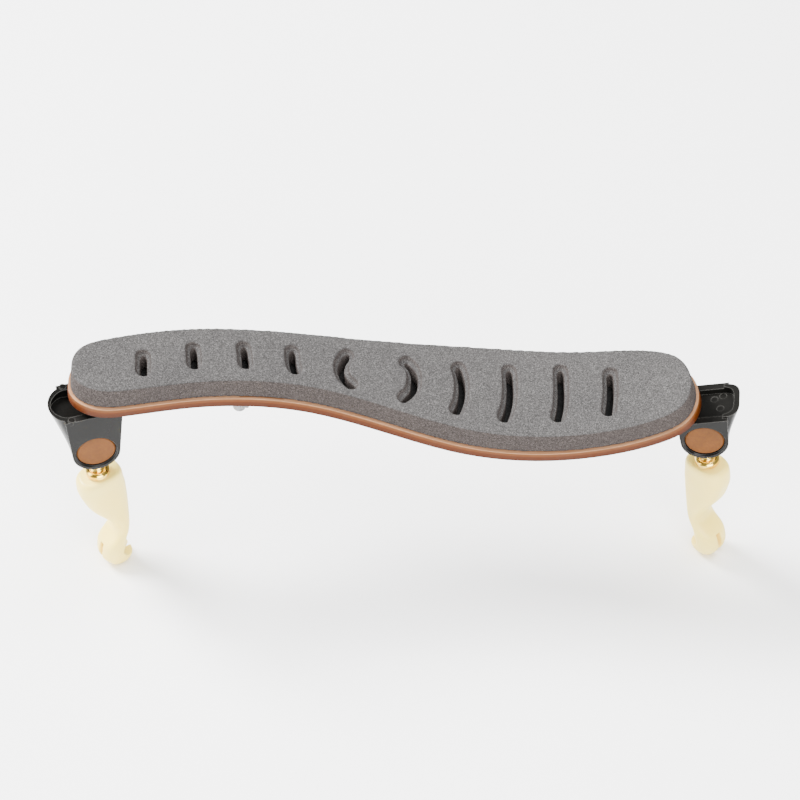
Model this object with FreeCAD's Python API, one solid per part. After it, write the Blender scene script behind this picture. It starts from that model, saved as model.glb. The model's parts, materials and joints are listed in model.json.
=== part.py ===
"""A violin shoulder rest, in millimetres.

+X runs along the rest from the chest end (left) to the shoulder end (right), +Y points
from the player's neck towards the scroll and +Z up, from the feet to the pad.
The two claw feet stand on Z = 0. Each end has a black moulded bracket that is clamped under
the wooden base, a cross-barrel that tilts in the bracket, and a foot on a brass spindle.
"""
import FreeCAD
import Part
import math
import os
from FreeCAD import Matrix, Placement, Vector

# Where the design's centre plane lies in the part's own frame.
ORIGIN_X = -0.28
ORIGIN_Y = 3.41

# Base plate: its underside, along X, is a cubic between two ends with known height and slope.
BASE_LEFT_X, BASE_LEFT_Z, BASE_LEFT_SLOPE = -92.0, 77.6, -0.105
BASE_RIGHT_X, BASE_RIGHT_Z, BASE_RIGHT_SLOPE = 89.0, 69.2, 0.33
TWIST_LEFT_DEG, TWIST_RIGHT_DEG = 3.0, 7.0
BASE_T = 3.7
BASE_LEDGE = 0.6
LINER_T = 0.3
PAD_T = 7.7

# Pad's outline on the base's upper face, from the chest end round the scroll side first.
PAD_OUTLINE = [
    (-97.0, 1.0), (-94.4, 8.2), (-86.5, 12.2), (-62.0, 18.5), (-38.0, 20.6), (-8.0, 20.4),
    (28.0, 19.2), (56.0, 16.4), (77.5, 13.4), (86.0, 8.4), (88.6, -1.2), (85.6, -8.0),
    (77.0, -11.6), (60.0, -13.6), (44.0, -13.9), (20.0, -11.3), (-3.0, -4.9), (-26.0, 0.5),
    (-44.0, 0.8), (-62.0, -2.1), (-80.0, -6.9), (-89.0, -7.9), (-95.2, -4.8),
]

OUTLINE_STEP = 3

# Brackets: black mouldings with an arm under the base and a leg that holds the barrel.
LEG_W = 15.6
LEG_INNER = 6.8
END_INSET = 1.2
END_DEPTH = 1.4
SIDE_WALL = 2.3
END_WALL = 1.8
RING_R = 7.2
BORE_CHAMFER = 0.45
FLOOR_OVER_BORE = 0.7
PIN_R = 1.05
DENT_R = 1.1
DENT_DEPTH = 0.2
BARREL_R = 5.9
BARREL_FIT = 0.05
BARREL_L = 14.4
BARREL_CHAMFER = 0.35
ARM_T = 3.0
ARM_END_R = 5.2
SLOT_W = 5.6
ARM_TRAVEL = 5.0
SWING_CLEAR = 28.0
GUIDE_FIT = 0.08

# Clamp: flush bolt in the base, guide block in the arm's slot, washer and knurled nut below.
BOLT_R = 2.0
BOLT_HEAD_R = 4.2
BOLT_HEAD_T = 1.6
BOLT_FIT = 0.05
BUSH_R = 3.0
FRICTION_R = 4.6
NUT_R = 4.2
NUT_T = 3.2
NUT_CLEAR = 0.1
CLAMP_WASHER_R = 4.6
CLAMP_WASHER_T = 0.8
BOLT_END = 4.0
KNURLS = 18

# Foot and spindle.
SPINDLE_R = 2.5
SPINDLE_FIT = 0.05
BARREL_BUSH_R = 3.5
COLLAR_R = 3.8
COLLAR_T = 2.6
SPINDLE_TOP = 0.2
SPINDLE_TENON = 9.0
FOOT_H = 42.0
SECTION_POINTS = 16
SECTION_SQUARE = 0.78
# Sections of the foot from the sole up: height, inner X, outer X and half-thickness.
FOOT_ROWS = [
    (0.0, -3.4, 0.4, 2.6), (1.0, -5.0, 1.8, 3.9), (2.9, -6.3, 3.1, 4.8), (5.4, -5.8, 3.7, 5.1),
    (8.2, -4.7, 3.2, 5.1), (10.8, -4.9, 1.7, 4.9), (13.0, -5.5, -0.7, 4.7), (16.0, -6.4, -2.0, 4.6),
    (20.0, -7.0, -0.7, 4.8), (24.6, -7.4, 2.5, 5.0), (30.5, -7.7, 5.6, 5.1), (36.5, -7.6, 7.2, 5.1),
    (40.2, -7.3, 7.1, 5.0), (41.5, -6.9, 6.6, 4.7), (FOOT_H, -6.2, 5.8, 4.2),
]
CLAW_GAP = 1.6
NOTCH_R = 2.5
NOTCH_X, NOTCH_Z = -4.6, 6.3

# One entry for each end: 'out' is the direction of its outer end along X. The rim is the
# height of the bracket's top over the barrel, and it falls towards the outer tip.
SIDES = {
    "left": {
        "out": -1, "barrel": (-92.0, 0.0, 60.0), "yaw": 13.0, "pitch": 0.0, "roll": 7.0,
        "rim": 15.6, "rim_fall": 0.17, "pocket": 4.2, "corner": 10.5, "tip": 14.9, "bulge": 0.6, "lip": 0.0,
        "pins": [(8.2, -6.9), (8.2, 6.9)], "dents": [],
        "bolt": 45.0, "washer": 0.6, "lean": 10.0, "foot_gap": 18.05, "foot_yaw": -149.0,
        "swing_out": 15.0, "swing_in": 70.0,
    },
    "right": {
        "out": 1, "barrel": (92.4, 0.0, 59.5), "yaw": -8.0, "pitch": 0.0, "roll": -15.0,
        "rim": 8.5, "rim_fall": 0.0, "pocket": 2.4, "corner": 8.4, "tip": 12.0, "bulge": 0.85, "lip": 0.7,
        "pins": [], "dents": [(3.8, 3.2), (6.4, 4.3), (5.7, -0.6)],
        "bolt": 23.0, "washer": 1.7, "lean": -8.1, "foot_gap": 17.5, "foot_yaw": -45.0,
        "swing_out": 15.0, "swing_in": 45.0,
    },
}


def rotation(axis, degrees):
    return FreeCAD.Rotation(Vector(*axis), degrees)


def place(shape, base, turn):
    moved = shape.copy()
    moved.Placement = Placement(Vector(*base), turn).multiply(shape.Placement)
    return moved


# ---- base, liner and pad -------------------------------------------------------------

def underside(x):
    """Height and slope of the base's underside on the line y = 0."""
    span = BASE_RIGHT_X - BASE_LEFT_X
    t = (x - BASE_LEFT_X) / span
    s = min(max(t, 0.0), 1.0)
    z = (2 * s**3 - 3 * s**2 + 1) * BASE_LEFT_Z + (3 * s**2 - 2 * s**3) * BASE_RIGHT_Z
    z += span * ((s**3 - 2 * s**2 + s) * BASE_LEFT_SLOPE + (s**3 - s**2) * BASE_RIGHT_SLOPE)
    slope = 6 * (s - s**2) * (BASE_RIGHT_Z - BASE_LEFT_Z) / span
    slope += (1 - 4 * s + 3 * s**2) * BASE_LEFT_SLOPE + (3 * s**2 - 2 * s) * BASE_RIGHT_SLOPE
    z += (t - s) * span * slope
    return z, slope


def cross_slope(x):
    """The base is twisted: its rise across Y grows from the chest end to the shoulder end."""
    t = (x - BASE_LEFT_X) / (BASE_RIGHT_X - BASE_LEFT_X)
    return math.tan(math.radians(TWIST_LEFT_DEG + t * (TWIST_RIGHT_DEG - TWIST_LEFT_DEG)))


def underside_z(x, y):
    return underside(x)[0] + cross_slope(x) * y


def slab(low, high):
    """The layer between two heights above the underside, wider than the outline all round."""
    rows = []
    for x in range(-112, 113, 14):
        rows.append([Vector(x, y, underside_z(x, y) + low) for y in (-30.0, -10.0, 10.0, 30.0)])
    surface = Part.BSplineSurface()
    surface.interpolate(rows)
    return surface.toShape().extrude(Vector(0, 0, high - low))


def outline_curve(points):
    curve = Part.BSplineCurve()
    curve.interpolate(Points=[Vector(x, y, 0) for x, y in points], PeriodicFlag=True)
    return curve


def outline_wire(points):
    """The outline as a closed wire, one smooth edge for every stretch of OUTLINE_STEP points."""
    curve = outline_curve(points)
    stops = [curve.parameter(Vector(x, y, 0)) for x, y in points[::OUTLINE_STEP]]
    stops = [curve.FirstParameter] + stops[1:] + [curve.LastParameter]
    return Part.Wire([curve.toShape(a, b) for a, b in zip(stops, stops[1:])])


def grown_outline(points, grow):
    """Points moved out of the outline by 'grow' along its own normal."""
    curve = outline_curve(points)
    grown = []
    for x, y in points:
        along = curve.tangent(curve.parameter(Vector(x, y, 0)))[0]
        grown.append((x - along.y * grow, y + along.x * grow))
    return grown


def wall_prism(points):
    """A solid whose side walls stand square to the base's upper face at each outline point."""
    wires = []
    for level in (45.0, 105.0):
        ring = []
        for x, y in points:
            rise = level - underside_z(x, y) - BASE_T
            ring.append((x - underside(x)[1] * rise, y - cross_slope(x) * rise))
        wire = outline_wire(ring)
        wire.translate(Vector(0, 0, level))
        wires.append(wire)
    low, high = wires
    faces = [Part.makeRuledSurface(a, b) for a, b in zip(low.Edges, high.Edges)]
    shell = Part.makeShell(faces + [Part.Face(low), Part.Face(high)])
    shell.sewShape()
    return Part.Solid(shell)


# ---- one end of the rest ---------------------------------------------------------------

def bracket_turn(side):
    turn = rotation((0, 0, 1), side["yaw"])
    turn = turn.multiply(rotation((0, 1, 0), side["roll"]))
    return turn.multiply(rotation((1, 0, 0), side["pitch"]))


def spindle_turn(side):
    """The spindle leans in the bracket, about the barrel."""
    return bracket_turn(side).multiply(rotation((0, 1, 0), -side["lean"]))


def cylinder_y(radius, length):
    return Part.makeCylinder(radius, length, Vector(0, -length / 2, 0), Vector(0, 1, 0))


def upright(radius, low, high, x=0.0):
    return Part.makeCylinder(radius, high - low, Vector(x, 0, low))


def tangent_point(px, pz, radius):
    """Where the line from (px, pz) touches the circle about the barrel, on its outer side."""
    reach = math.hypot(px, pz)
    angle = math.atan2(pz, px) - math.acos(radius / reach)
    return radius * math.cos(angle), radius * math.sin(angle)


def leg(side):
    """Flat-sided body that narrows from the rim to a ring round the barrel."""
    out, rim = side["out"], side["rim"]
    inner_x, inner_z = tangent_point(LEG_INNER, rim, RING_R)
    outer_x, outer_z = tangent_point(side["corner"], rim, RING_R)
    corners = [Vector(-out * LEG_INNER, 0, rim), Vector(-out * inner_x, 0, inner_z)]
    outer = [Vector(out * outer_x, 0, outer_z), Vector(out * side["corner"], 0, rim)]
    edges = [
        Part.makeLine(corners[0], corners[1]),
        Part.Arc(corners[1], Vector(0, 0, -RING_R), outer[0]).toShape(),
        Part.makeLine(outer[0], outer[1]),
        Part.makeLine(outer[1], corners[0]),
    ]
    body = Part.Face(Part.Wire(edges)).extrude(Vector(0, LEG_W, 0))
    body.translate(Vector(0, -LEG_W / 2, 0))
    half = LEG_W / 2 - END_INSET
    top = end_plan(side, side["corner"], side["tip"], half, END_DEPTH, rim + side["lip"])
    low = end_plan(side, outer_x, outer_x + 0.1, half, END_DEPTH, outer_z)
    return body.fuse(Part.makeLoft([low, top], True, True)).removeSplitter()


def end_plan(side, corner, tip, half, depth, level):
    """Closed outline at one level: straight sides that run out to the corners, and a bowed end."""
    out, shoulder = side["out"], corner + side["bulge"] * (tip - corner)
    bow = [(corner, -half), (shoulder, -0.72 * half), (tip, 0), (shoulder, 0.72 * half), (corner, half)]
    rows = [Vector(out * x, y, level) for x, y in bow]
    end = Part.BSplineCurve()
    end.interpolate(rows)
    back_near, back_far = rows[0] - Vector(out * depth, 0, 0), rows[-1] - Vector(out * depth, 0, 0)
    edges = [
        Part.makeLine(back_near, rows[0]),
        end.toShape(),
        Part.makeLine(rows[-1], back_far),
        Part.makeLine(back_far, back_near),
    ]
    return Part.Wire(edges)


def long_slot(length, width, low, high):
    """An upright slot with round ends, centred on the origin along X."""
    straight = length - width
    body = Part.makeBox(straight, width, high - low, Vector(-straight / 2, -width / 2, low))
    for x in (-straight / 2, straight / 2):
        body = body.fuse(upright(width / 2, low, high, x))
    return body.removeSplitter()


def arm(side):
    out, rim, bolt_x = side["out"], side["rim"], -side["out"] * side["bolt"]
    reach = side["bolt"] + ARM_TRAVEL + SLOT_W / 2
    body = Part.makeBox(reach, 2 * ARM_END_R, ARM_T)
    body.translate(Vector(-reach if out > 0 else 0, -ARM_END_R, rim - ARM_T))
    body = body.fuse(upright(ARM_END_R, rim - ARM_T, rim, -out * reach))
    body = body.removeSplitter()
    slot = long_slot(2 * ARM_TRAVEL + SLOT_W, SLOT_W, rim - ARM_T - 1, rim + 1)
    slot.translate(Vector(bolt_x, 0, 0))
    return body.cut(slot)


def barrel_slot(side):
    """The cut in the ring that lets the spindle swing, wider on the inner side."""
    out = side["out"]
    wedge = [Vector(0, 0, 0)]
    rest = abs(side["lean"])
    low, high = rest - side["swing_out"] - SWING_CLEAR, rest + side["swing_in"] + SWING_CLEAR
    for angle in (low, 0.5 * (low + high) - 10, 0.5 * (low + high) + 10, high):
        tilt = math.radians(angle)
        wedge.append(Vector(-out * 16 * math.sin(tilt), 0, -16 * math.cos(tilt)))
    face = Part.Face(Part.makePolygon(wedge + wedge[:1]))
    cut = face.extrude(Vector(0, 2 * SPINDLE_R + 1.2, 0))
    cut.translate(Vector(0, -SPINDLE_R - 0.6, 0))
    return cut


def bore():
    """The barrel's bearing, chamfered where it opens in the two flat sides."""
    radius = BARREL_R + BARREL_FIT
    cut = cylinder_y(radius, LEG_W + 2)
    for end in (-1, 1):
        face = Vector(0, end * LEG_W / 2, 0)
        inward = Vector(0, -end, 0)
        cone = Part.makeCone(radius + BORE_CHAMFER, radius, BORE_CHAMFER, face, inward)
        cut = cut.fuse(cone)
    return cut


def bracket(side):
    out, rim = side["out"], side["rim"]
    body = leg(side)
    if side["rim_fall"]:
        start = Vector(out, -LEG_W, rim)
        reach = Vector(out * 20, 0, -20 * side["rim_fall"])
        up = Vector(0, 0, 10)
        wedge = Part.makePolygon([start, start + reach, start + reach + up, start + up, start])
        body = body.cut(Part.Face(wedge).extrude(Vector(0, 2 * LEG_W, 0)))
    for x, y in side["pins"]:
        top = rim - (x - 1) * side["rim_fall"] + 0.3
        pin = upright(PIN_R, top - 1.5, top, out * x)
        pin.translate(Vector(0, y, 0))
        body = body.fuse(pin)
    body = body.fuse(arm(side)).removeSplitter().cut(bore())
    floor = max(BARREL_R + FLOOR_OVER_BORE, rim - side["pocket"])
    corner, tip = side["corner"] - END_WALL, side["tip"] - END_WALL
    half = LEG_W / 2 - SIDE_WALL
    outline = end_plan(side, corner, tip, half, corner + LEG_INNER - SIDE_WALL, floor)
    body = body.cut(Part.Face(outline).extrude(Vector(0, 0, 30)))
    for x, y in side["dents"]:
        dent = upright(DENT_R, floor - DENT_DEPTH, floor + 1, out * x)
        dent.translate(Vector(0, y, 0))
        body = body.cut(dent)
    return body.cut(barrel_slot(side))


def barrel():
    body = cylinder_y(BARREL_R, BARREL_L)
    rims = [e for e in body.Edges if abs(abs(e.CenterOfMass.y) - BARREL_L / 2) < 0.01]
    body = body.makeChamfer(BARREL_CHAMFER, rims)
    return body.cut(upright(BARREL_BUSH_R, -BARREL_R - 1, BARREL_R + 1))


def barrel_bush():
    tube = upright(BARREL_BUSH_R, -BARREL_R, BARREL_R)
    tube = tube.cut(upright(SPINDLE_R + SPINDLE_FIT, -BARREL_R - 1, BARREL_R + 1))
    return tube.common(cylinder_y(BARREL_R, BARREL_L))


def spindle(side):
    """Turned brass: threaded stem, collar and a tenon that is set into the foot."""
    seat = -side["foot_gap"]
    body = upright(SPINDLE_R, seat - SPINDLE_TENON, SPINDLE_TOP)
    collar = upright(COLLAR_R, seat, seat + COLLAR_T)
    collar = collar.makeFillet(0.5, [e for e in collar.Edges if isinstance(e.Curve, Part.Circle)])
    return body.fuse(collar).removeSplitter()


def foot_section(level, inner, outer, half):
    """One rounded section of the foot, between two X values and 'half' to each side."""
    middle, reach = 0.5 * (inner + outer), 0.5 * (outer - inner)
    rows = []
    for index in range(SECTION_POINTS):
        angle = 2 * math.pi * index / SECTION_POINTS
        across, along = math.sin(angle), math.cos(angle)
        x = math.copysign(abs(along) ** SECTION_SQUARE, along)
        y = math.copysign(abs(across) ** SECTION_SQUARE, across)
        rows.append(Vector(middle + reach * x, half * y, level - FOOT_H))
    curve = Part.BSplineCurve()
    curve.interpolate(Points=rows, PeriodicFlag=True)
    return Part.Wire([curve.toShape()])


def foot():
    """A claw foot: the notch takes the violin's edge and a slit parts its two claws."""
    body = Part.makeLoft([foot_section(*row) for row in FOOT_ROWS], True, False)
    notch_z = NOTCH_Z - FOOT_H
    notch = Part.makeCylinder(NOTCH_R, 20, Vector(NOTCH_X, -10, notch_z), Vector(0, 1, 0))
    mouth = Part.makeBox(15, 20, 2 * NOTCH_R, Vector(NOTCH_X - 15, -10, notch_z - NOTCH_R))
    slit = Part.makeBox(30, CLAW_GAP, 10.5, Vector(-15, -CLAW_GAP / 2, -FOOT_H - 1))
    hole = upright(SPINDLE_R + SPINDLE_FIT, -SPINDLE_TENON - 0.3, 1)
    return body.cut(notch.fuse(mouth)).cut(slit).cut(hole)


def nut(top):
    """Knurled thumb nut, hanging from 'top'."""
    body = upright(NUT_R, top - NUT_T, top)
    for index in range(KNURLS):
        angle = 2 * math.pi * index / KNURLS
        groove = upright(0.45, top - NUT_T - 1, top + 1)
        groove.translate(Vector((NUT_R + 0.15) * math.cos(angle), (NUT_R + 0.15) * math.sin(angle), 0))
        body = body.cut(groove)
    return body.cut(upright(BOLT_R + BOLT_FIT, top - NUT_T - 1, top + 1))


def washer(radius, hole, low, high):
    return upright(radius, low, high).cut(upright(hole, low - 1, high + 1))


def clamp(name, side):
    """Bolt, bush, guide and nut, all on the bolt's axis, with the arm's upper face at 'rim'."""
    rim = side["rim"]
    turn = bracket_turn(side)
    axis_x = -side["out"] * side["bolt"]
    under = rim + side["washer"] + 0.1
    head_top = under + BASE_T - 0.2
    arm_low = rim - ARM_T
    washer_top = arm_low - NUT_CLEAR
    nut_top = washer_top - CLAMP_WASHER_T
    low = nut_top - NUT_T - BOLT_END
    shank = upright(BOLT_R, low, head_top)
    ends = [e for e in shank.Edges if isinstance(e.Curve, Part.Circle) and e.CenterOfMass.z < low + 0.1]
    shank = shank.makeFillet(1.0, ends)
    head = upright(BOLT_HEAD_R, head_top - BOLT_HEAD_T, head_top)
    flange = upright(BUSH_R + 2.0, under, under + 0.7)
    bush = upright(BUSH_R, under, head_top - BOLT_HEAD_T).fuse(flange)
    guide = upright(SLOT_W / 2 - GUIDE_FIT, arm_low + 0.1, rim - 0.1)
    hole = upright(BOLT_R + BOLT_FIT, low, head_top)
    pieces = {
        "clamp_bolt": shank.fuse(head).removeSplitter(),
        "base_bush": bush.cut(upright(BOLT_R, low, head_top)).removeSplitter(),
        "friction_washer": washer(FRICTION_R, BOLT_R + 0.2, rim + 0.05, under - 0.05),
        "slot_guide": guide.cut(hole),
        "clamp_washer": washer(CLAMP_WASHER_R, BOLT_R + BOLT_FIT, nut_top, washer_top),
        "thumb_nut": nut(nut_top - 0.02),
    }
    placed = {}
    for piece, shape in pieces.items():
        shape.translate(Vector(axis_x, 0, 0))
        placed[f"{name}_{piece}"] = place(shape, side["barrel"], turn)
    return placed


def make_end(name, side):
    turn = bracket_turn(side)
    lean = spindle_turn(side)
    parts = {
        f"{name}_bracket": place(bracket(side), side["barrel"], turn),
        f"{name}_barrel": place(barrel(), side["barrel"], lean),
        f"{name}_barrel_bush": place(barrel_bush(), side["barrel"], lean),
        f"{name}_spindle": place(spindle(side), side["barrel"], lean),
    }
    foot_at = Vector(*side["barrel"]) + lean.multVec(Vector(0, 0, -side["foot_gap"]))
    heading = foot_turn(side)
    parts[f"{name}_foot"] = place(foot(), foot_at, heading)
    return parts


def foot_turn(side):
    """The foot is turned about the spindle so that its claws face the violin's rim."""
    axis = spindle_turn(side).multVec(Vector(0, 0, 1))
    outward = rotation((0, 0, 1), side["foot_yaw"]).multVec(Vector(1, 0, 0))
    across = axis.cross(outward).normalize()
    outward = across.cross(axis)
    grid = Matrix(outward.x, across.x, axis.x, 0, outward.y, across.y, axis.y, 0,
                  outward.z, across.z, axis.z, 0, 0, 0, 0, 1)
    return FreeCAD.Rotation(grid)


def build():
    base_prism = wall_prism(grown_outline(PAD_OUTLINE, BASE_LEDGE))
    pad_prism = wall_prism(PAD_OUTLINE)
    liner_prism = wall_prism(grown_outline(PAD_OUTLINE, -0.5))
    parts = {
        "base_plate": slab(0.0, BASE_T).common(base_prism),
        "pad_liner": slab(BASE_T, BASE_T + LINER_T).common(liner_prism),
        "foam_pad": slab(BASE_T + LINER_T, BASE_T + LINER_T + PAD_T).common(pad_prism),
    }
    for name, side in SIDES.items():
        ends = clamp(name, side)
        for piece in ("clamp_bolt", "base_bush"):
            parts["base_plate"] = parts["base_plate"].cut(ends[f"{name}_{piece}"])
        parts.update(ends)
        parts.update(make_end(name, side))
    shift = Vector(-ORIGIN_X, -ORIGIN_Y, 0)
    for shape in parts.values():
        shape.translate(shift)
    return parts


def main():
    os.makedirs("parts", exist_ok=True)
    parts = build()
    box = FreeCAD.BoundBox()
    for name, shape in parts.items():
        shape.exportStep(f"parts/{name}.step")
        box.add(shape.BoundBox)
        solids = len(shape.Solids)
        print(f"{name:24s} valid={shape.isValid()} solids={solids} volume={shape.Volume:9.1f}")
    print("box", [round(v, 2) for v in (box.XMin, box.XMax, box.YMin, box.YMax, box.ZMin, box.ZMax)])


main()
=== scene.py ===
"""Looks for a violin shoulder rest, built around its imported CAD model. Metres; +X along the rest, +Z up."""
import json
import math

import bmesh
import bpy
from mathutils import Matrix, Vector
from mathutils.bvhtree import BVHTree

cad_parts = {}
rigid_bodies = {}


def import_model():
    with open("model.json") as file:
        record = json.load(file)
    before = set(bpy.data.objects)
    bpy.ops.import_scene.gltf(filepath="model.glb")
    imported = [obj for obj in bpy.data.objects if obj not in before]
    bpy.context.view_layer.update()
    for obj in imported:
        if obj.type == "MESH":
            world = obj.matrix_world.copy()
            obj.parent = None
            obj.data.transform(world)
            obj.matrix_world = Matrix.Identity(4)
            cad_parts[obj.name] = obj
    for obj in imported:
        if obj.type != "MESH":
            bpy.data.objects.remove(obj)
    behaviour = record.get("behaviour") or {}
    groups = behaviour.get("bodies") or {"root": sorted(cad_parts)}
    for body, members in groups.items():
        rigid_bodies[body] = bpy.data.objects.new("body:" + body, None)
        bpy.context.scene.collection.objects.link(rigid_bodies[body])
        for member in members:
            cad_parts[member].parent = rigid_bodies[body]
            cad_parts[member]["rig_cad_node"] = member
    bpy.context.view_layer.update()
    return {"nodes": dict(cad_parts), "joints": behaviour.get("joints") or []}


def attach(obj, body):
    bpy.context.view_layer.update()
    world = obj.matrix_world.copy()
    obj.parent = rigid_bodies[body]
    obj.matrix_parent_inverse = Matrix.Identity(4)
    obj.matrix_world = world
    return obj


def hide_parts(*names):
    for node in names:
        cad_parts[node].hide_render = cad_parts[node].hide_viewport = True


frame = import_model()

MM = 0.001
NODES = frame["nodes"]
JOINTS = {joint["name"]: joint for joint in frame["joints"]}
SIDES = ("left", "right")

# Sizes in mm.
FOAM_VOXEL = 0.36
FOOT_VOXEL = 0.3
BASE_THICKNESS = 3.7
BASE_EASE = 0.22
BRACKET_EASE = 0.3

# The spindle: a threaded stem from just over its seat, and a collar as (radius, height) pairs.
STEM_RADIUS = 2.5
STEM_PITCH = 1.0
STEM_DEPTH = 0.45
STEM_START = 1.2
STEM_LENGTH = 16.4
COLLAR_PROFILE = [
    (0, 0.02), (3.1, 0.02), (3.5, 0.35), (3.8, 0.7), (3.8, 1.9), (3.55, 2.3),
    (3.1, 2.6), (2.6, 2.6), (0, 2.6),
]


# ---- mesh helpers -----------------------------------------------------------------------

def link_mesh(name, mesh):
    piece = bpy.data.objects.new(name, mesh)
    bpy.context.scene.collection.objects.link(piece)
    return piece


def smooth_shading(mesh, angle=35.0):
    mesh.polygons.foreach_set("use_smooth", [True] * len(mesh.polygons))
    mesh.set_sharp_from_angle(angle=math.radians(angle))


def welded_copy(name, node):
    """A new object with the CAD node's mesh, its doubled points joined."""
    shape = bmesh.new()
    shape.from_mesh(NODES[node].data)
    bmesh.ops.remove_doubles(shape, verts=shape.verts, dist=1e-6)
    mesh = bpy.data.meshes.new(name)
    shape.to_mesh(mesh)
    shape.free()
    return link_mesh(name, mesh)


def bake_modifiers(piece):
    """Turns the piece's modifiers into its mesh."""
    graph = bpy.context.evaluated_depsgraph_get()
    mesh = bpy.data.meshes.new_from_object(piece.evaluated_get(graph))
    piece.modifiers.clear()
    piece.data = mesh


def remeshed(piece, voxel, rounds):
    """Even quads of that voxel size, with edges softened by rounds of smoothing."""
    remesh = piece.modifiers.new("remesh", "REMESH")
    remesh.mode = "VOXEL"
    remesh.voxel_size = voxel
    if rounds:
        soften = piece.modifiers.new("soften", "SMOOTH")
        soften.factor = 0.5
        soften.iterations = rounds
    bake_modifiers(piece)
    smooth_shading(piece.data, 60.0)


def lathe(name, profile, at, axis, segments=64):
    """A closed turned piece: the profile is (radius, height) in mm along the axis from 'at'."""
    shape = bmesh.new()
    turn = Vector(axis).normalized().to_track_quat("Z", "Y").to_matrix()
    rings = []
    for radius, height in profile:
        if radius < 1e-6:
            rings.append([shape.verts.new(turn @ Vector((0, 0, height * MM)) + Vector(at))])
            continue
        ring = []
        for index in range(segments):
            angle = 2 * math.pi * index / segments
            point = Vector((radius * math.cos(angle), radius * math.sin(angle), height)) * MM
            ring.append(shape.verts.new(turn @ point + Vector(at)))
        rings.append(ring)
    for low, high in zip(rings, rings[1:]):
        for index in range(segments):
            after = (index + 1) % segments
            if len(low) == 1:
                shape.faces.new((low[0], high[after], high[index]))
            elif len(high) == 1:
                shape.faces.new((low[index], low[after], high[0]))
            else:
                shape.faces.new((low[index], low[after], high[after], high[index]))
    bmesh.ops.recalc_face_normals(shape, faces=shape.faces)
    mesh = bpy.data.meshes.new(name)
    shape.to_mesh(mesh)
    shape.free()
    smooth_shading(mesh, 25.0)
    return link_mesh(name, mesh)


THREAD_ROWS = 8


def threaded_rod(name, radius, pitch, depth, length, at, axis, segments=40):
    """A rod with a helical thread and chamfered ends, from 'at' along the axis. Sizes in mm."""
    shape = bmesh.new()
    turn = Vector(axis).normalized().to_track_quat("Z", "Y").to_matrix()
    steps = int(length / pitch * THREAD_ROWS)
    rings = []
    for row in range(steps + 1):
        height = length * row / steps
        ends = max(0.0, 1.0 - min(height, length - height) / (0.8 * depth + 0.2))
        ring = []
        for index in range(segments):
            share = index / segments
            phase = (height / pitch - share) % 1.0
            groove = 1.0 - abs(2.0 * phase - 1.0)
            cut = depth * max(min(1.25 * groove - 0.1, 1.0), 0.0)
            reach = radius - max(cut, depth * ends)
            angle = 2 * math.pi * share
            point = Vector((reach * math.cos(angle), reach * math.sin(angle), height)) * MM
            ring.append(shape.verts.new(turn @ point + Vector(at)))
        rings.append(ring)
    for low, high in zip(rings, rings[1:]):
        for index in range(segments):
            after = (index + 1) % segments
            shape.faces.new((low[index], low[after], high[after], high[index]))
    shape.faces.new(list(reversed(rings[0])))
    shape.faces.new(rings[-1])
    mesh = bpy.data.meshes.new(name)
    shape.to_mesh(mesh)
    shape.free()
    smooth_shading(mesh, 50.0)
    return link_mesh(name, mesh)


def joined(name, *parts):
    """One object with the meshes of all the parts."""
    shape = bmesh.new()
    for part in parts:
        shape.from_mesh(part.data)
        bpy.data.objects.remove(part)
    mesh = bpy.data.meshes.new(name)
    shape.to_mesh(mesh)
    shape.free()
    return link_mesh(name, mesh)


# ---- material helpers -------------------------------------------------------------------

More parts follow.
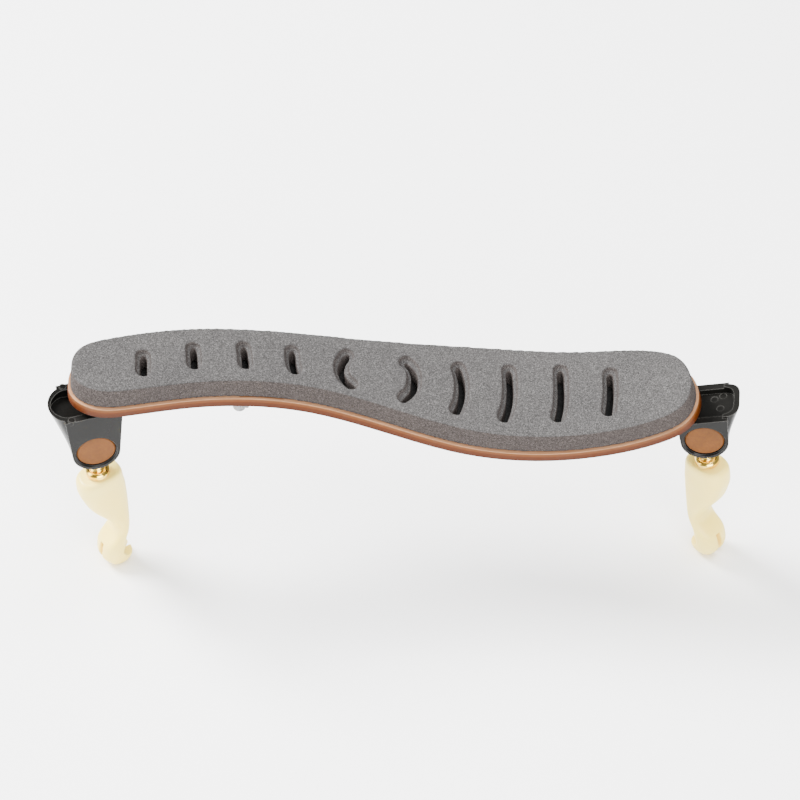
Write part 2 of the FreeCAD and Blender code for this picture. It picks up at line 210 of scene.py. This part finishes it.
class Finish:
    """A node material, built around one Principled shader."""

    def __init__(self, name, **settings):
        self.material = bpy.data.materials.new(name)
        self.material.use_nodes = True
        self.tree = self.material.node_tree
        self.shader = self.tree.nodes["Principled BSDF"]
        for socket, value in settings.items():
            self.shader.inputs[socket.replace("_", " ")].default_value = value
        self.place = self.tree.nodes.new("ShaderNodeTexCoord").outputs["Object"]
        self.bumps = None

    def node(self, kind, **inputs):
        made = self.tree.nodes.new(kind)
        for socket, value in inputs.items():
            self.feed(made.inputs[socket.replace("_", " ")], value)
        return made

    def feed(self, socket, value):
        if isinstance(value, bpy.types.NodeSocket):
            self.tree.links.new(value, socket)
        else:
            socket.default_value = value

    def stretched(self, *scales):
        """The object's own coordinates, in metres, times one scale for each axis."""
        return self.node("ShaderNodeMapping", Vector=self.place, Scale=scales).outputs[0]

    def noise(self, scale, detail=3.0, roughness=0.55, vector=None):
        made = self.node("ShaderNodeTexNoise", Vector=vector or self.place, Scale=scale,
                         Detail=detail, Roughness=roughness)
        return made.outputs["Fac"]

    def ramp(self, value, *stops):
        made = self.node("ShaderNodeValToRGB", Fac=value)
        ends = made.color_ramp.elements
        while len(ends) < len(stops):
            ends.new(0.5)
        for end, (at, color) in zip(ends, stops):
            end.position = at
            end.color = (*color, 1.0) if len(color) == 3 else color
        return made.outputs["Color"]

    def range(self, value, low, high, to_low, to_high):
        made = self.node("ShaderNodeMapRange", Value=value)
        for socket, number in zip(("From Min", "From Max", "To Min", "To Max"),
                                  (low, high, to_low, to_high)):
            made.inputs[socket].default_value = number
        return made.outputs["Result"]

    def mix(self, share, first, second, blend="MIX"):
        made = self.tree.nodes.new("ShaderNodeMix")
        made.data_type = "RGBA"
        made.blend_type = blend
        self.feed(made.inputs[0], share)
        for socket, value in ((made.inputs[6], first), (made.inputs[7], second)):
            self.feed(socket, (*value, 1.0) if isinstance(value, tuple) else value)
        return made.outputs[2]

    def bump(self, height, strength, distance):
        made = self.node("ShaderNodeBump", Height=height, Strength=strength)
        made.inputs["Distance"].default_value = distance
        if self.bumps is not None:
            self.tree.links.new(self.bumps, made.inputs["Normal"])
        self.bumps = made.outputs["Normal"]
        self.tree.links.new(self.bumps, self.shader.inputs["Normal"])

    def color(self, value):
        self.feed(self.shader.inputs["Base Color"], value)

    def rough(self, value):
        self.feed(self.shader.inputs["Roughness"], value)


def dress(piece, finish):
    """Gives the piece one material in place of those it has."""
    slots = piece.data.materials
    if len(slots) == 0:
        slots.append(finish.material)
    for index in range(len(slots)):
        if "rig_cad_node" in piece:
            piece.material_slots[index].link = "OBJECT"
            piece.material_slots[index].material = finish.material
        else:
            slots[index] = finish.material


# ---- materials --------------------------------------------------------------------------

def foam_finish():
    finish = Finish("foam_speckled", Roughness=0.95, Specular_IOR_Level=0.05)
    cells = finish.node("ShaderNodeTexVoronoi", Vector=finish.place, Scale=4600.0)
    grain = finish.node("ShaderNodeSeparateColor", Color=cells.outputs["Color"]).outputs[0]
    fine = finish.noise(7500.0, 2.0, 0.7)
    broad = finish.noise(70.0, 3.0)
    speckle = finish.ramp(grain, (0.0, (0.026, 0.0248, 0.0243)), (0.35, (0.044, 0.042, 0.0413)),
                          (0.75, (0.056, 0.0536, 0.0526)), (1.0, (0.098, 0.0945, 0.0925)))
    fine_tone = finish.ramp(fine, (0.3, (0.72, 0.72, 0.72)), (0.7, (1.18, 1.18, 1.18)))
    tone = finish.mix(0.85, speckle, fine_tone, "MULTIPLY")
    cloud = finish.ramp(broad, (0.3, (0.94, 0.94, 0.945)), (0.7, (1.05, 1.05, 1.045)))
    shade = finish.mix(1.0, tone, cloud, "MULTIPLY")
    # Painted shade: faces that turn away from up get darker and warmer, standing in for the pad's sides lying
    # in shade under light from above.
    facing = finish.node("ShaderNodeNewGeometry").outputs["Normal"]
    height = finish.node("ShaderNodeSeparateXYZ", Vector=facing).outputs["Z"]
    side_shade = finish.ramp(height, (0.35, (0.98, 0.87, 0.83)), (0.75, (1.0, 1.0, 1.0)))
    finish.color(finish.mix(1.0, shade, side_shade, "MULTIPLY"))
    finish.bump(cells.outputs["Distance"], 0.3, 0.00014)
    finish.bump(fine, 0.25, 0.00006)
    return finish


def liner_and_slot_shade_finish():
    # The liner is the pad's black backing; its black at the foot of the cut-through slots is also painted
    # shade for the slots' dark depth.
    finish = Finish("liner_black_slot_shade", Roughness=0.85, Specular_IOR_Level=0.2)
    grain = finish.noise(1500.0, 3.0)
    finish.color(finish.ramp(grain, (0.3, (0.004, 0.004, 0.004)), (0.7, (0.012, 0.012, 0.012))))
    finish.bump(grain, 0.3, 0.0001)
    return finish


def base_finish():
    """Thin bent plies: the edge shows them as fine lines, the faces show long grain. The edge colour also
    carries painted light: a painted highlight near the top and painted shade towards the underside.
    """
    finish = Finish("base_laminate", Roughness=0.42, Specular_IOR_Level=0.08)
    height = finish.node("ShaderNodeAttribute")
    height.attribute_name = "ply_height"
    grain = finish.noise(1.0, 4.0, 0.6, finish.stretched(35.0, 900.0, 900.0))
    broad = finish.noise(1.0, 2.0, 0.5, finish.stretched(14.0, 90.0, 90.0))
    waver = finish.range(broad, 0.3, 0.7, -0.03, 0.03)
    level = finish.node("ShaderNodeMath")
    level.operation = "ADD"
    finish.feed(level.inputs[0], height.outputs["Fac"])
    finish.feed(level.inputs[1], waver)
    # From the underside up: painted shade low down, dark glue lines between plies at 0.76 and 0.88, and a
    # painted highlight along the upper edge at 0.96.
    plies_and_painted_light = finish.ramp(level.outputs[0], (0.0, (0.045, 0.009, 0.001)), (0.50, (0.075, 0.018, 0.002)),
                        (0.62, (0.105, 0.030, 0.005)), (0.70, (0.13, 0.045, 0.012)),
                        (0.76, (0.075, 0.019, 0.003)), (0.82, (0.17, 0.068, 0.022)),
                        (0.88, (0.11, 0.036, 0.009)), (0.96, (0.34, 0.19, 0.105)),
                        (1.0, (0.30, 0.155, 0.08)))
    streaks = finish.ramp(grain, (0.3, (0.86, 0.82, 0.78)), (0.7, (1.10, 1.08, 1.06)))
    finish.color(finish.mix(0.8, plies_and_painted_light, streaks, "MULTIPLY"))
    finish.rough(finish.range(grain, 0.3, 0.7, 0.36, 0.5))
    finish.bump(grain, 0.1, 0.00008)
    return finish


def bracket_finish():
    finish = Finish("bracket_gloss_black", Specular_IOR_Level=0.11)
    flow = finish.noise(55.0, 3.0, 0.5)
    fine = finish.noise(2600.0, 2.0, 0.6)
    shade = finish.ramp(flow, (0.3, (0.0035, 0.0034, 0.0031)), (0.7, (0.0065, 0.0062, 0.0055)))
    # Painted highlight: where the bevel normal turns away from the face, the colour goes lighter, standing in
    # for light caught on the rounded edges.
    rounded = finish.node("ShaderNodeBevel", Radius=0.0004).outputs["Normal"]
    facing = finish.node("ShaderNodeNewGeometry").outputs["True Normal"]
    match = finish.node("ShaderNodeVectorMath")
    match.operation = "DOT_PRODUCT"
    finish.feed(match.inputs[0], rounded)
    finish.feed(match.inputs[1], facing)
    edge_highlight = finish.range(match.outputs["Value"], 0.97, 0.80, 0.0, 0.75)
    finish.color(finish.mix(edge_highlight, shade, (0.075, 0.073, 0.068)))
    finish.rough(finish.range(flow, 0.3, 0.7, 0.2, 0.3))
    finish.bump(flow, 0.1, 0.0003)
    finish.bump(fine, 0.05, 0.00004)
    return finish


def barrel_finish():
    finish = Finish("barrel_tan", Specular_IOR_Level=0.15)
    grain = finish.noise(1100.0, 4.0, 0.65)
    broad = finish.noise(150.0, 2.0)
    tone = finish.ramp(grain, (0.25, (0.088, 0.027, 0.003)), (0.75, (0.130, 0.047, 0.008)))
    cloud = finish.ramp(broad, (0.3, (0.86, 0.86, 0.85)), (0.7, (1.12, 1.1, 1.08)))
    finish.color(finish.mix(1.0, tone, cloud, "MULTIPLY"))
    finish.rough(finish.range(grain, 0.3, 0.7, 0.5, 0.66))
    finish.bump(grain, 0.25, 0.00008)
    return finish


def brass_finish():
    finish = Finish("brass_polished", Metallic=1.0)
    broad = finish.noise(300.0, 3.0)
    fine = finish.noise(4000.0, 2.0)
    finish.color(finish.ramp(broad, (0.3, (0.78, 0.52, 0.10)), (0.7, (0.90, 0.66, 0.17))))
    finish.rough(finish.range(broad, 0.3, 0.7, 0.14, 0.26))
    finish.bump(fine, 0.06, 0.00003)
    return finish


def steel_finish():
    finish = Finish("steel_turned", Metallic=1.0)
    broad = finish.noise(400.0, 3.0)
    fine = finish.noise(3500.0, 2.0)
    finish.color(finish.ramp(broad, (0.3, (0.17, 0.17, 0.175)), (0.7, (0.25, 0.25, 0.25))))
    finish.rough(finish.range(fine, 0.3, 0.7, 0.24, 0.38))
    finish.bump(fine, 0.08, 0.00003)
    return finish


def washer_finish():
    finish = Finish("washer_fibre", Roughness=0.75)
    grain = finish.noise(2500.0, 3.0)
    finish.color(finish.ramp(grain, (0.3, (0.012, 0.012, 0.012)), (0.7, (0.03, 0.03, 0.03))))
    finish.bump(grain, 0.3, 0.00006)
    return finish


def foot_finish():
    finish = Finish("foot_cream", Specular_IOR_Level=0.5, Subsurface_Weight=0.05,
                    Subsurface_Scale=0.001)
    broad = finish.noise(90.0, 3.0)
    fine = finish.noise(1800.0, 2.0, 0.6)
    finish.color(finish.ramp(broad, (0.3, (0.98, 0.74, 0.15)), (0.7, (0.99, 0.78, 0.19))))
    finish.rough(finish.range(fine, 0.3, 0.7, 0.34, 0.46))
    finish.bump(fine, 0.1, 0.00005)
    return finish


# ---- foam pad -------------------------------------------------------------------------

# Slots from the chest end: points on the centre line, far end first, in mm on the pad's top.
# The points are the output of a separate measuring script; report.md says how they were made.
SLOT_LINES = [
    [(-75.1, 5.1), (-75.0, -5.1)],
    [(-60.7, 9.6), (-60.3, 4.0), (-60.2, -0.8)],
    [(-45.9, 11.7), (-45.3, 6.0), (-45.1, 1.2)],
    [(-31.4, 12.1), (-31.2, 6.0), (-30.1, 1.0)],
    [(-14.1, 12.3), (-16.8, 6.3), (-16.1, 1.9), (-12.5, -2.2)],
    [(1.4, 11.0), (4.6, 6.3), (4.9, 2.3), (4.0, -1.5), (0.2, -5.9)],
    [(17.9, 10.0), (19.1, 2.9), (18.5, -3.7), (16.2, -9.7)],
    [(33.4, 9.0), (33.5, 1.2), (32.7, -5.4), (30.5, -12.3)],
    [(48.9, 8.2), (48.7, 0.4), (48.1, -6.1), (46.5, -12.9)],
    [(63.5, 5.4), (63.1, -3.7), (61.7, -12.2)],
]
# Every slot is a shallow recess with a narrow slit in its floor, which starts SLIT_START in
# from the recess's far end. Each pair is a height over the pad's top and a half-width, in mm.
RECESS_SECTION = [(0.5, 2.6), (-0.2, 2.35), (-1.0, 2.0), (-1.6, 1.5), (-1.8, 1.0)]
SLIT_SECTION = [(0.8, 1.0), (-9.0, 0.95)]
SLIT_START = 1.0
SLIT_END = 0.6
SLIT_TIP = 2.2
SLIT_TIP_SHARE = 0.3
SLIM_END_SHARE = 0.35
CURVED_SLOT = 5
SLOT_STEPS = 14
END_STEPS = 6


def smooth_line(points, steps):
    """Evenly stepped points on a Catmull-Rom line through the given ones."""
    ends = [2 * Vector(points[0]) - Vector(points[1])] + [Vector(p) for p in points]
    ends.append(2 * Vector(points[-1]) - Vector(points[-2]))
    line = []
    for index in range(steps + 1):
        at = index / steps * (len(points) - 1)
        cell = min(int(at), len(points) - 2)
        t = at - cell
        a, b, c, d = ends[cell:cell + 4]
        line.append(0.5 * (2 * b + (c - a) * t + (2 * a - 5 * b + 4 * c - d) * t * t
                           + (3 * b - 3 * c + d - a) * t ** 3))
    return line


def slot_ring(line, half):
    """The round-ended outline at 'half' from the centre line, which runs from end to end."""
    sides = []
    for index, point in enumerate(line):
        before, after = line[max(index - 1, 0)], line[min(index + 1, len(line) - 1)]
        along = (after - before).normalized()
        sides.append((point, Vector((-along.y, along.x)), along))
    ring = [point + normal * half for point, normal, along in sides]
    point, normal, along = sides[-1]
    for index in range(1, END_STEPS):
        angle = math.pi * index / END_STEPS
        ring.append(point + (normal * math.cos(angle) + along * math.sin(angle)) * half)
    ring += [point - normal * half for point, normal, along in reversed(sides)]
    point, normal, along = sides[0]
    for index in range(1, END_STEPS):
        angle = math.pi * index / END_STEPS
        ring.append(point - (normal * math.cos(angle) + along * math.sin(angle)) * half)
    return ring


def sweep_rings(name, rings):
    """A closed solid through rings of equally many points, from the top one down."""
    shape = bmesh.new()
    rings = [[shape.verts.new(point) for point in ring] for ring in rings]
    for upper, lower in zip(rings, rings[1:]):
        for index in range(len(upper)):
            after = (index + 1) % len(upper)
            shape.faces.new((upper[index], upper[after], lower[after], lower[index]))
    shape.faces.new(rings[0])
    shape.faces.new(list(reversed(rings[-1])))
    bmesh.ops.recalc_face_normals(shape, faces=shape.faces)
    bmesh.ops.triangulate(shape, faces=shape.faces)
    mesh = bpy.data.meshes.new(name)
    shape.to_mesh(mesh)
    shape.free()
    return link_mesh(name, mesh)


def recess_cutter(points, top):
    """The shallow round-ended recess of one slot. 'top' gives the pad's height."""
    inset = RECESS_SECTION[1][1]
    trimmed = [Vector(p) for p in points]
    trimmed[0] = trimmed[0] + (trimmed[1] - trimmed[0]).normalized() * inset
    trimmed[-1] = trimmed[-1] + (trimmed[-2] - trimmed[-1]).normalized() * inset
    line = smooth_line(trimmed, SLOT_STEPS)
    rings = []
    for height, half in RECESS_SECTION:
        ring = slot_ring(line, half)
        rings.append([Vector((x * MM, y * MM, top(x, y) + height * MM)) for x, y in ring])
    return sweep_rings("recess_cutter", rings)


def slit_cutter(points, top, slim):
    """The narrow slit: thin at its far end, square at the near one, and thin at both if 'slim'."""
    line = smooth_line([Vector(p) for p in points], 4 * SLOT_STEPS)
    length = sum((b - a).length for a, b in zip(line, line[1:]))
    rings = []
    for height, half in SLIT_SECTION:
        left, right, run = [], [], 0.0
        for before, point in zip(line, line[1:]):
            along = point - before
            run += along.length
            if run < SLIT_START or run > length - SLIT_END:
                continue
            width = half * min((run - SLIT_START) / SLIT_TIP + SLIT_TIP_SHARE, 1.0)
            if slim:
                width *= SLIM_END_SHARE + (1.0 - SLIM_END_SHARE) * math.sin(math.pi * run / length)
            across = Vector((-along.y, along.x)).normalized() * width
            left.append(point + across)
            right.append(point - across)
        ring = left + list(reversed(right))
        rings.append([Vector((x * MM, y * MM, top(x, y) + height * MM)) for x, y in ring])
    return sweep_rings("slit_cutter", rings)


def make_foam():
    """The foam slab with its ten slots cut, in place of the CAD's plain one."""
    pad = welded_copy("foam_pad_cut", "foam_pad")
    tree = BVHTree.FromObject(pad, bpy.context.evaluated_depsgraph_get())

    def top(x, y):
        hit = tree.ray_cast(Vector((x * MM, y * MM, 0.2)), Vector((0, 0, -1)))[0]
        return hit.z if hit else 0.0

    cutters = [recess_cutter(points, top) for points in SLOT_LINES]
    for index, points in enumerate(SLOT_LINES):
        cutters.append(slit_cutter(points, top, index == CURVED_SLOT))
    for cutter in cutters:
        cut = pad.modifiers.new("cut", "BOOLEAN")
        cut.operation = "DIFFERENCE"
        cut.solver = "EXACT"
        cut.object = cutter
    bake_modifiers(pad)
    for cutter in cutters:
        bpy.data.objects.remove(cutter)
    remeshed(pad, FOAM_VOXEL * MM, 2)
    dress(pad, foam_finish())
    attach(pad, "base")
    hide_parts("foam_pad")


# ---- base -------------------------------------------------------------------------------

def flat_normals(piece):
    """Keeps the wide faces flat in the shading, so that only the eased edges look round."""
    even = piece.modifiers.new("even", "WEIGHTED_NORMAL")
    even.mode = "FACE_AREA"
    even.weight = 80
    even.keep_sharp = True


def make_base():
    """The base with its edges eased, and for each point its height through the plies, 0 to 1."""
    board = welded_copy("base_board", "base_plate")
    shape = bmesh.new()
    shape.from_mesh(board.data)
    under = [f for f in shape.faces if f.normal.z < -0.7]
    corners = [[v.co.copy() for v in f.verts] for f in under]
    points = [co for face in corners for co in face]
    cells = [tuple(range(3 * i, 3 * i + 3)) for i in range(len(corners))]
    tree = BVHTree.FromPolygons(points, cells)
    edges = [e for e in shape.edges if e.is_manifold and e.calc_face_angle(0.0) > 1.0]
    bmesh.ops.bevel(shape, geom=edges, offset=BASE_EASE * MM, segments=3, profile=0.5,
                    affect="EDGES", clamp_overlap=True)
    shape.to_mesh(board.data)
    layer = board.data.attributes.new("ply_height", "FLOAT", "POINT")
    heights = [tree.find_nearest(v.co)[3] / (BASE_THICKNESS * MM) for v in board.data.vertices]
    layer.data.foreach_set("value", heights)
    shape.free()
    smooth_shading(board.data, 50.0)
    flat_normals(board)
    dress(board, base_finish())
    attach(board, "base")
    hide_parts("base_plate")


# ---- ends -------------------------------------------------------------------------------

def ease_edges(piece, width):
    """Rounds the moulding's sharp edges by a width in mm, as the mould's own corners are."""
    ease = piece.modifiers.new("ease", "BEVEL")
    ease.width = width * MM
    ease.segments = 3
    ease.limit_method = "ANGLE"
    ease.angle_limit = math.radians(40.0)
    ease.use_clamp_overlap = True
    flat_normals(piece)


def make_foot(side, finish):
    """The claw foot with its edges rounded."""
    foot = welded_copy(f"{side}_claw_foot", f"{side}_foot")
    remeshed(foot, FOOT_VOXEL * MM, 0)
    ease = foot.modifiers.new("ease", "LAPLACIANSMOOTH")
    ease.lambda_factor = 0.6
    ease.iterations = 4
    bake_modifiers(foot)
    smooth_shading(foot.data, 60.0)
    dress(foot, finish)
    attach(foot, f"{side}_foot_body")
    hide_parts(f"{side}_foot")


def make_spindle(side, finish):
    """Turned brass collar on a threaded stem, on the axis that the foot turns about."""
    joint = JOINTS[f"{side}_foot_turn"]
    seat, axis = joint["pos_m"], joint["axis"]
    stem_at = Vector(seat) + Vector(axis) * STEM_START * MM
    stem = threaded_rod("stem", STEM_RADIUS, STEM_PITCH, STEM_DEPTH, STEM_LENGTH, stem_at, axis)
    collar = lathe("collar", COLLAR_PROFILE, seat, axis)
    spindle = joined(f"{side}_threaded_spindle", stem, collar)
    smooth_shading(spindle.data, 30.0)
    dress(spindle, finish)
    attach(spindle, f"{side}_spindle_body")
    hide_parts(f"{side}_spindle")


FINISHES = {
    "liner": liner_and_slot_shade_finish(), "bracket": bracket_finish(), "barrel": barrel_finish(),
    "brass": brass_finish(), "steel": steel_finish(), "washer": washer_finish(),
    "foot": foot_finish(),
}
NODE_FINISHES = {
    "bracket": "bracket", "barrel": "barrel", "barrel_bush": "brass", "base_bush": "brass",
    "slot_guide": "brass", "clamp_bolt": "steel", "clamp_washer": "steel",
    "thumb_nut": "steel", "friction_washer": "washer",
}

make_foam()
make_base()
dress(NODES["pad_liner"], FINISHES["liner"])
for side in SIDES:
    make_foot(side, FINISHES["foot"])
    make_spindle(side, FINISHES["brass"])
    for node, finish in NODE_FINISHES.items():
        dress(NODES[f"{side}_{node}"], FINISHES[finish])
    ease_edges(NODES[f"{side}_bracket"], BRACKET_EASE)


# ---- floor, light and camera ------------------------------------------------------------

FLOOR_HALF = 3.0

# Each light: name, place, point it faces, width and depth, and power in watts.
LIGHTS = [
    ("key", (-0.9, 0.45, 1.15), (0.0, 0.0, 0.06), (0.6, 0.6), 95.0),
    ("overhead", (0.3, -0.1, 1.6), (0.0, 0.0, 0.06), (1.6, 0.9), 60.0),
    ("front", (0.3, -1.2, 0.7), (0.0, 0.0, 0.05), (1.0, 0.6), 30.0),
    ("side", (-1.0, -0.2, 0.5), (0.0, 0.0, 0.05), (0.5, 0.7), 9.0),
]


def make_floor():
    """A wide pale floor at the level of the feet."""
    shape = bmesh.new()
    bmesh.ops.create_grid(shape, x_segments=8, y_segments=8, size=FLOOR_HALF)
    mesh = bpy.data.meshes.new("floor")
    shape.to_mesh(mesh)
    shape.free()
    floor = link_mesh("floor", mesh)
    finish = Finish("floor_pale", Roughness=0.8)
    grain = finish.noise(6.0, 2.0)
    finish.color(finish.ramp(grain, (0.3, (0.93, 0.93, 0.93)), (0.7, (0.96, 0.96, 0.96))))
    dress(floor, finish)


def area_light(name, at, target, size, power):
    data = bpy.data.lights.new(name, "AREA")
    data.shape = "RECTANGLE"
    data.size, data.size_y = size
    data.energy = power
    lamp = bpy.data.objects.new(name, data)
    lamp.location = at
    lamp.rotation_euler = (Vector(target) - Vector(at)).to_track_quat("-Z", "Y").to_euler()
    bpy.context.scene.collection.objects.link(lamp)


def make_world():
    world = bpy.data.worlds.new("studio")
    world.use_nodes = True
    world.node_tree.nodes["Background"].inputs["Color"].default_value = (0.95, 0.97, 1.0, 1.0)
    world.node_tree.nodes["Background"].inputs["Strength"].default_value = 0.35
    bpy.context.scene.world = world


# The camera that was fitted to the photograph: place in metres, angles in degrees, lens in mm.
CAMERA_AT = (-0.0323, -0.6232, 0.7630)
CAMERA_YAW = -3.02
CAMERA_PITCH = 47.95
CAMERA_ROLL = 1.15
CAMERA_LENS = 140.64
CAMERA_SHIFT_Y = -0.00674


def make_camera():
    data = bpy.data.cameras.new("camera")
    data.lens = CAMERA_LENS
    data.sensor_width = 36.0
    data.shift_y = CAMERA_SHIFT_Y
    data.clip_start, data.clip_end = 0.05, 20.0
    camera = bpy.data.objects.new("camera", data)
    turn = Matrix.Rotation(math.radians(CAMERA_YAW), 4, "Z")
    turn = turn @ Matrix.Rotation(math.radians(90.0 - CAMERA_PITCH), 4, "X")
    turn = turn @ Matrix.Rotation(math.radians(CAMERA_ROLL), 4, "Z")
    camera.matrix_world = Matrix.Translation(CAMERA_AT) @ turn
    bpy.context.scene.collection.objects.link(camera)
    bpy.context.scene.camera = camera


make_floor()
make_world()
for light in LIGHTS:
    area_light(*light)
make_camera()
